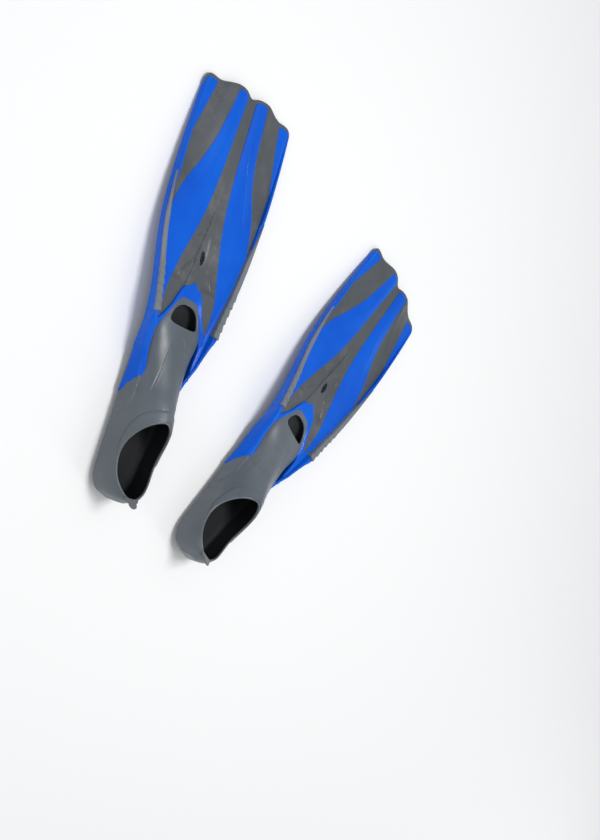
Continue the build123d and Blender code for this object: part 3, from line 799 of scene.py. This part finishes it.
def insert():
    """Centre moulding: a body with the drain hole, and a tail on each side of the arch."""
    def arch_x(y):
        keys = sorted((b, a) for a, b in ARCH_EDGE)
        return np.maximum(np.interp(y, [k[0] for k in keys], [k[1] for k in keys]) - 1.5, 0)

    def tail_low(x, y):
        return np.minimum(np.maximum(sheet_low(x, y), top_z(x, y) - 1.2), insert_top(x, y) - 0.3)

    def edge(y):
        return along(INNER_EDGE, y) - 0.02
    tail = ribbon(np.linspace(262, 332, 30), arch_x, edge, insert_top, tail_low, 26, 0.5)
    rows = np.concatenate([np.arange(326, 340, 2.0), np.arange(340, 412, 1.0), np.arange(412, 612, 3.0),
                           [612, 616, 619, BLADE_END]])
    hole = (0, VENT_Y, VENT_WIDE, VENT_LONG)
    body = ribbon(rows, lambda y: -edge(y), edge, insert_top, sheet_low, 74, 0.5, None, None, hole,
                  blade_reach(TRIM - 0.6))
    a = np.linspace(0, 2 * math.pi, 65)[:-1]
    x, y = VENT_WIDE * np.cos(a), VENT_LONG * np.sin(a)
    z = insert_top(x * 1.1, VENT_Y + y) - 0.25
    ring = np.stack([x * 1.06, VENT_Y + y * 1.03, z], 1)
    lip = tube(ring, np.tile([[0, 0, 1.0]], (64, 1)), 0.75, 10)
    return merged(tail, mirrored(tail), body, lip)


def channel_top(x, y):
    return sheet_top(x, y) - 0.1 + fold(x, y, CHANNEL_CREASE, 1.0, 13, 480, 640)


def channel():
    """Soft channel between the two stiff ribs."""
    def low(y):
        return along(OUTER_EDGE, y)

    def high(y):
        inner = rail_inner(y) + 1.0
        return np.maximum(np.where(y < 500, inner, np.minimum(along(SIDE_EDGE, y), inner)), low(y) + 0.1)
    rows = graded(401, BLADE_END, 3.0, False, False)
    return ribbon(rows, low, high, channel_top, sheet_low, 22, 0.5, None, None, None, blade_reach(TRIM - 0.6))


def cap():
    """Rubber cap of one rail with a row of stepped teeth at its back."""
    pitch = (FLEX_Y - CAP_BACK) / CAP_TEETH
    ys = [CAP_BACK + 0.1]
    for k in range(CAP_TEETH):
        for f in TOOTH_ROWS:
            ys.append(CAP_BACK + pitch * (k + f))
    ys += list(np.arange(FLEX_Y + 1, CAP_FRONT, 3.0)) + [CAP_FRONT]
    rings = []
    for y in ys:
        t = (y - CAP_BACK) / pitch
        frac = t - math.floor(t)
        step = 0.0
        if t < CAP_TEETH:
            step = min(frac / 0.12, 1.0) * (1 - max(frac - 0.12, 0) / 0.88)
            step = step * (1.0 if t < CAP_TEETH - 1 else 0.75)
        taper = 1 - float(ease((y - 392) / (CAP_FRONT - 392)))
        out = float(along(RAIL_OUT, y) + np.minimum(along(RAIL_LEAN, y), 0))
        thick = float(along(RAIL_T, y)) * (0.25 + 0.75 * taper)
        top = float(along(RAIL_TOP, y)) + TOOTH_H * step + 0.2 * taper
        shelf = float(along(RAIL_TOP, y)) - CAP_T - 0.4
        grow = 0.9 * step
        inner = out - thick
        skirt = max(float(sheet_top(inner, y)) - 0.5, shelf - CAP_SKIRT * taper - 0.2)
        hang = 2.4 * taper + 0.05
        hem = min(skirt, shelf - 0.1)
        pts = [(out + 0.35 + grow * 0.8, shelf), (out + 0.35 + grow, top - 1.4),
               (out - 1.0 + grow * 0.4, top), (inner + 0.8, top),
               (inner - hang * 0.9 - grow * 0.5, top - 1.5), (inner - hang - grow * 0.3, hem),
               (inner + 0.6, hem), (inner + 0.6, shelf)]
        back = max(0.0, 1 - (y - CAP_BACK) / 14.0)
        ring3 = [(px, y - 2.2 * back * (px - inner) / max(thick, 1) + 2.0 * back, pz) for px, pz in pts]
        rings.append(rounded(ring3, [0.4, 0.9, 0.8, 0.8, 0.9, 0.8, 0.3, 0.3], 3))
    return loft(np.array(rings))


def tip_trim():
    """Rubber edge that runs round the scalloped tip, from one corner to the other."""
    dense = [(x, float(tip_line(x))) for x in np.linspace(0, 97, 90)]
    dense += [(98.4, 608), (99.1, 604), (99.3, 600), (99.2, 596)]
    full = np.array([(-x, y) for x, y in reversed(dense)] + dense[1:])
    u = np.linspace(0, arc(full)[-1], TRIM_POINTS)
    p = soft_line(spaced(full, TRIM_POINTS), 3)
    t = units(np.gradient(p, axis=0))
    inward = soft_line(np.stack([t[:, 1], -t[:, 0]], 1), 10)
    rings = []
    for (x, y), (nx, ny), g in zip(p, inward, u):
        corner = float(ease((abs(x) - 90) / 8))
        half = float(along(SHEET_T, y)) / 2 * (1 + 0.35 * corner)
        fade = min(1.0, min(g, u[-1] - g) / 6.0 + 0.12)
        deep = TRIM_DEEP - 5 * corner
        upper = TRIM_NOSE + ((4.0, 0.99), (deep, 0.9))
        lower = ((deep, -0.8), (4.0, -0.95)) + tuple((d, -h) for d, h in reversed(TRIM_NOSE))
        ring = []
        for d, h in ((0.0, 0.0),) + upper + lower:
            qx, qy = x + nx * d, y + ny * d
            z = float(deck(qx, qy)) + 0.6 * corner
            ring.append((qx, qy, z + h * half * fade - (0.18 if h > 0.95 else 0.1)))
        rings.append(ring)
    return loft(np.array(rings))


# ---- sole and heel tab ----
def outsole():
    """Ribbed tread under the foot."""
    def edge(y):
        corner = drop(np.minimum(y - TREAD_BACK, TREAD_FRONT - y), TREAD_CORNER)
        return along(FOOT_W, y) * TREAD_SHARE - corner * 0.9

    lugs = np.linspace(LUG_FIRST, LUG_LAST, LUG_COUNT)
    rows = [TREAD_BACK + d for d in (0, 0.4, 1.0, 2.0)]
    for r in lugs:
        rows += [r + d for d in LUG_ROWS]
    rows += [TREAD_FRONT - d for d in (1.5, 0.8, 0.3, 0)]

    def bottom(x, y):
        near = np.min([np.abs(y - r) for r in lugs], axis=0)
        lug = ease((LUG_HALF - near) / 0.7) * ease((edge(y) - 3.0 - np.abs(x)) / 0.8 + 0.5)
        cut = ease(1 - np.abs(np.abs(x) - GROOVE_X) / 0.9)
        return LUG_TALL - LUG_TALL * lug * (1 - cut)
    return ribbon(rows, lambda y: -edge(y), edge, lambda x, y: x * 0 + TREAD_TOP, bottom, 64, 0.4)


def heel_tab():
    """Rounded pull tab, drawn flat and then tilted into place."""
    tip_r = TAB_W / 2

    def half(t):
        body = tip_r + (TAB_ROOT_W / 2 + 1.5 - tip_r) * (1 - ease((t + 1) / 7.5)) ** 1.2
        end = np.clip(t - (TAB_LEN - tip_r), 0, tip_r)
        return np.where(t > TAB_LEN - tip_r, np.sqrt(np.maximum(tip_r ** 2 - end ** 2, 0.02)), body)
    rows = np.concatenate([np.linspace(-1.5, TAB_LEN - 1, 34),
                           [TAB_LEN - 0.6, TAB_LEN - 0.3, TAB_LEN - 0.12, TAB_LEN - 0.02]])

    def face(x, t):
        pad = 0.35 * np.exp(-((t - 7.5) / 3.2) ** 2 - (x / 4.5) ** 2)
        end = drop(np.maximum(TAB_LEN - t, 0), 1.2)
        return TAB_T / 2 - end * 0.9 - pad
    v, f = ribbon(rows, lambda t: -half(t), half, face, lambda x, t: -face(x, t), 18, 1.2)
    x, t, h = -v[:, 0], -v[:, 1], v[:, 2]
    a = math.radians(-TAB_TILT)
    y = t * math.cos(a) - h * math.sin(a)
    z = t * math.sin(a) + h * math.cos(a)
    return np.stack([x, y + TAB_Y, z + TAB_Z], 1), f


# ---- materials ----
def node_material(name, base, dark, light, rough, grain, bump, sheen=0.0, coat=0.0, spec=0.5,
                  dust=0.0, dust_colour=(0.3, 0.29, 0.27), streak=0.0, rough_spread=0.08, painted_edge_sheen=None):
    """Moulded rubber or plastic: colour drift, fine grain, flow streaks, dust, uneven gloss and, where asked,
    a painted sheen.

    The edge colour is a painted sheen: a paler colour mixed into the base where the surface is seen
    edge-on, so it changes with the view. It isn't a sheen of the shader."""
    mat = bpy.data.materials.new(name)
    mat.use_nodes = True
    tree = mat.node_tree
    tree.nodes.clear()
    new, link = tree.nodes.new, tree.links.new
    out = new("ShaderNodeOutputMaterial")
    bsdf = new("ShaderNodeBsdfPrincipled")
    link(bsdf.outputs[0], out.inputs[0])
    coord = new("ShaderNodeTexCoord")

    def noise(scale, detail, rough_=0.5, stretch=None):
        n = new("ShaderNodeTexNoise")
        n.inputs["Scale"].default_value = scale
        n.inputs["Detail"].default_value = detail
        n.inputs["Roughness"].default_value = rough_
        if stretch:
            m = new("ShaderNodeMapping")
            m.inputs["Scale"].default_value = stretch
            link(coord.outputs["Object"], m.inputs[0])
            link(m.outputs[0], n.inputs["Vector"])
        else:
            link(coord.outputs["Object"], n.inputs["Vector"])
        return n

    def ramp(src, stops):
        r = new("ShaderNodeValToRGB")
        for k, (pos, col) in enumerate(stops):
            e = r.color_ramp.elements[k] if k < 2 else r.color_ramp.elements.new(pos)
            e.position = pos
            e.color = (*col, 1)
        link(src, r.inputs[0])
        return r

    def tinted(under, mask, colour):
        mix = new("ShaderNodeMix")
        mix.data_type = "RGBA"
        link(mask.outputs[0], mix.inputs[0])
        link(under, mix.inputs[6])
        mix.inputs[7].default_value = (*colour, 1)
        return mix.outputs[2]

    black = (0, 0, 0)
    drift = noise(9, 5, 0.6)
    top = ramp(drift.outputs[0], ((0.25, dark), (0.75, light), (0.5, base))).outputs[0]
    if streak:
        lines = noise(30, 6, 0.7, (6.0, 0.9, 6.0))
        top = tinted(top, ramp(lines.outputs[0], ((0.45, black), (0.8, (streak,) * 3))), light)
    if dust:
        spots = noise(38, 10, 0.72)
        patch = noise(6, 3, 0.5)
        mul = new("ShaderNodeMath")
        mul.operation = "MULTIPLY"
        link(spots.outputs[0], mul.inputs[0])
        link(patch.outputs[0], mul.inputs[1])
        top = tinted(top, ramp(mul.outputs[0], ((0.27, black), (0.5, (dust,) * 3))), dust_colour)
    if painted_edge_sheen:
        # painted sheen: a paler colour mixed into the base colour where the surface is seen edge-on
        facing = new("ShaderNodeLayerWeight")
        facing.inputs["Blend"].default_value = 0.32
        top = tinted(top, ramp(facing.outputs["Facing"], ((0.35, black), (0.95, (0.85,) * 3))), painted_edge_sheen)
    link(top, bsdf.inputs["Base Color"])
    gloss = noise(22, 6, 0.65)
    span = new("ShaderNodeMapRange")
    span.inputs["From Min"].default_value = 0.3
    span.inputs["From Max"].default_value = 0.7
    span.inputs["To Min"].default_value = rough - rough_spread
    span.inputs["To Max"].default_value = rough + rough_spread
    link(gloss.outputs[0], span.inputs[0])
    link(span.outputs[0], bsdf.inputs["Roughness"])
    fine = noise(grain, 4, 0.6)
    wavy = noise(55, 3, 0.5)
    add = new("ShaderNodeMath")
    add.operation = "MULTIPLY_ADD"
    link(wavy.outputs[0], add.inputs[0])
    add.inputs[1].default_value = 0.8
    link(fine.outputs[0], add.inputs[2])
    bp = new("ShaderNodeBump")
    bp.inputs["Strength"].default_value = bump
    bp.inputs["Distance"].default_value = 0.0006
    link(add.outputs[0], bp.inputs["Height"])
    link(bp.outputs[0], bsdf.inputs["Normal"])
    bsdf.inputs["Sheen Weight"].default_value = sheen
    bsdf.inputs["Coat Weight"].default_value = coat
    bsdf.inputs["Coat Roughness"].default_value = 0.09
    bsdf.inputs["Specular IOR Level"].default_value = spec
    return mat


# the blue polymer carries a painted sheen: paler blue where its surface is seen edge-on
BLUE = node_material("fin_blue_polymer", base=(0.0, 0.095, 0.6), dark=(0.0, 0.075, 0.53),
                     light=(0.0, 0.115, 0.66), rough=0.34, grain=420, bump=0.08, coat=0.07, spec=0.14,
                     dust=0.06, dust_colour=(0.05, 0.25, 0.6), rough_spread=0.05,
                     painted_edge_sheen=(0.0, 0.27, 0.78))
POCKET = node_material("fin_pocket_rubber", base=(0.088, 0.106, 0.123), dark=(0.072, 0.088, 0.103),
                       light=(0.108, 0.128, 0.146), rough=0.36, grain=900, bump=0.22, sheen=0.08,
                       spec=0.55, dust=0.25, dust_colour=(0.2, 0.205, 0.21), rough_spread=0.09)
# painted shade: the pocket's inside is made near black to stand in for the shadow within it
POCKET_INSIDE_SHADE = node_material("fin_pocket_inside_painted_shade", base=(0.012, 0.013, 0.015), dark=(0.008, 0.009, 0.010),
                       light=(0.02, 0.022, 0.024), rough=0.7, grain=700, bump=0.3, spec=0.3)
BLADE = node_material("fin_blade_rubber", base=(0.066, 0.075, 0.084), dark=(0.05, 0.058, 0.066),
                      light=(0.09, 0.098, 0.105), rough=0.4, grain=800, bump=0.24, sheen=0.05,
                      spec=0.5, dust=0.6, dust_colour=(0.2, 0.19, 0.175), streak=0.35, rough_spread=0.1)
CAPS = node_material("fin_cap_rubber", base=(0.15, 0.168, 0.19), dark=(0.122, 0.136, 0.155),
                     light=(0.18, 0.198, 0.222), rough=0.42, grain=850, bump=0.24, sheen=0.08,
                     spec=0.5, dust=0.3, dust_colour=(0.23, 0.225, 0.215))
TREAD = node_material("fin_tread_rubber", base=(0.07, 0.076, 0.083), dark=(0.05, 0.055, 0.06),
                      light=(0.095, 0.1, 0.105), rough=0.62, grain=700, bump=0.35, spec=0.4,
                      dust=0.45, dust_colour=(0.2, 0.19, 0.175))
TAB = node_material("fin_tab_rubber", base=(0.115, 0.125, 0.135), dark=(0.09, 0.1, 0.11),
                    light=(0.15, 0.16, 0.17), rough=0.48, grain=850, bump=0.25, sheen=0.08,
                    spec=0.5, dust=0.25, dust_colour=(0.22, 0.215, 0.21))


# ---- stage, light and camera ----
def stage():
    mat = bpy.data.materials.new("stage_floor")
    mat.use_nodes = True
    nodes, links = mat.node_tree.nodes, mat.node_tree.links
    bsdf = nodes["Principled BSDF"]
    n = nodes.new("ShaderNodeTexNoise")
    n.inputs["Scale"].default_value = 1.5
    r = nodes.new("ShaderNodeValToRGB")
    r.color_ramp.elements[0].color = (0.88, 0.88, 0.87, 1)
    r.color_ramp.elements[1].color = (0.92, 0.92, 0.91, 1)
    links.new(n.outputs[0], r.inputs[0])
    links.new(r.outputs[0], bsdf.inputs["Base Color"])
    bsdf.inputs["Roughness"].default_value = 0.9
    bsdf.inputs["Specular IOR Level"].default_value = 0.1
    mesh = bpy.data.meshes.new("stage_floor")
    corners = [(a * FLOOR_HALF, b * FLOOR_HALF, -0.5 * MM) for a, b in ((-1, -1), (1, -1), (1, 1), (-1, 1))]
    mesh.from_pydata(corners, [], [(0, 1, 2, 3)])
    mesh.materials.append(mat)
    floor = bpy.data.objects.new("stage_floor", mesh)
    bpy.context.scene.collection.objects.link(floor)
    world = bpy.data.worlds.new("studio")
    bpy.context.scene.world = world
    world.use_nodes = True
    bg = world.node_tree.nodes["Background"]
    bg.inputs[0].default_value = (0.93, 0.96, 1.0, 1)
    bg.inputs[1].default_value = WORLD_LIGHT


def softbox(name, place, aim, size, power):
    data = bpy.data.lights.new(name, "AREA")
    data.shape = "RECTANGLE"
    data.size, data.size_y = size
    data.energy = power
    obj = bpy.data.objects.new(name, data)
    bpy.context.scene.collection.objects.link(obj)
    obj.location = place
    obj.rotation_mode = "QUATERNION"
    obj.rotation_quaternion = (Vector(aim) - Vector(place)).to_track_quat("-Z", "Y")


def camera():
    data = bpy.data.cameras.new("camera")
    data.sensor_width = 36.0
    data.lens = LENS
    data.clip_start, data.clip_end = 0.05, 60.0
    obj = bpy.data.objects.new("camera", data)
    bpy.context.scene.collection.objects.link(obj)
    right, up = Vector(CAMERA_RIGHT).normalized(), Vector(CAMERA_UP)
    up = (up - right * up.dot(right)).normalized()
    m = Matrix((right, up, right.cross(up))).transposed().to_4x4()
    m.translation = Vector(CAMERA_PLACE)
    obj.matrix_world = m
    bpy.context.scene.camera = obj
    bpy.context.scene.view_settings.view_transform = "Standard"


# ---- the pair ----
SHAPES = {
    "pocket": foot_pocket(),
    "sole": outsole(),
    "rail": skeleton_rail(),
    "strip": blue_strip(),
    "side": side_strip(),
    "arch": arch(),
    "crest": crest(CREASE, 428, 606, 0.6),
    "insert": insert(),
    "channel": channel(),
    "cap": cap(),
    "trim": tip_trim(),
    "tab": heel_tab(),
}


def ride_piece(obj, body, node):
    """A piece that moves with one body."""
    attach(obj, body)
    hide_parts(node)


def bend_piece(obj, nodes):
    """A piece that runs from the pocket on to the blade; its placement is baked into its points and it is
    tied to neither body.
    """
    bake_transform(obj)
    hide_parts(*nodes)


def one_fin(side, pre):
    v, f, slots = SHAPES["pocket"]
    shell = build(pre + "foot_pocket_shell", v, f, side, [POCKET, POCKET_INSIDE_SHADE], slots, 40)
    ride_piece(shell, pre + "pocket", pre + "foot_pocket")
    tread = build(pre + "outsole_tread", *SHAPES["sole"], side, [TREAD])
    ride_piece(tread, pre + "pocket", pre + "outsole")
    tab = build(pre + "heel_pull_tab", *SHAPES["tab"], side, [TAB])
    ride_piece(tab, pre + "tab", pre + "heel_tab")
    frame_parts = []
    for key in ("rail", "strip", "side", "crest"):
        frame_parts += [SHAPES[key], mirrored(SHAPES[key])]
    v, f = merged(*frame_parts, SHAPES["arch"])
    bend_piece(build(pre + "frame_moulding", v, f, side, [BLUE]),
               [pre + "pocket_frame", pre + "blade_frame_a", pre + "blade_frame_b"])
    bend_piece(build(pre + "centre_insert_moulding", *SHAPES["insert"], side, [BLADE]),
               [pre + "insert_root", pre + "centre_insert"])
    for tag, flip in (("a", True), ("b", False)):
        part = mirrored(SHAPES["channel"]) if flip else SHAPES["channel"]
        skin = build(pre + "channel_skin_" + tag, *part, side, [BLADE])
        ride_piece(skin, pre + "blade", pre + "channel_" + tag)
        part = mirrored(SHAPES["cap"]) if flip else SHAPES["cap"]
        bend_piece(build(pre + "rail_cap_rubber_" + tag, *part, side, [CAPS], None, 28),
                   [pre + "cap_root_" + tag, pre + "rail_cap_" + tag])
    edge = build(pre + "tip_trim_edge", *SHAPES["trim"], side, [BLADE])
    ride_piece(edge, pre + "blade", pre + "tip_trim")


one_fin(-1, "left_")
one_fin(1, "right_")
stage()
camera()
for light, (place, aim, size, power) in LIGHTS.items():
    softbox(light, place, aim, size, power)
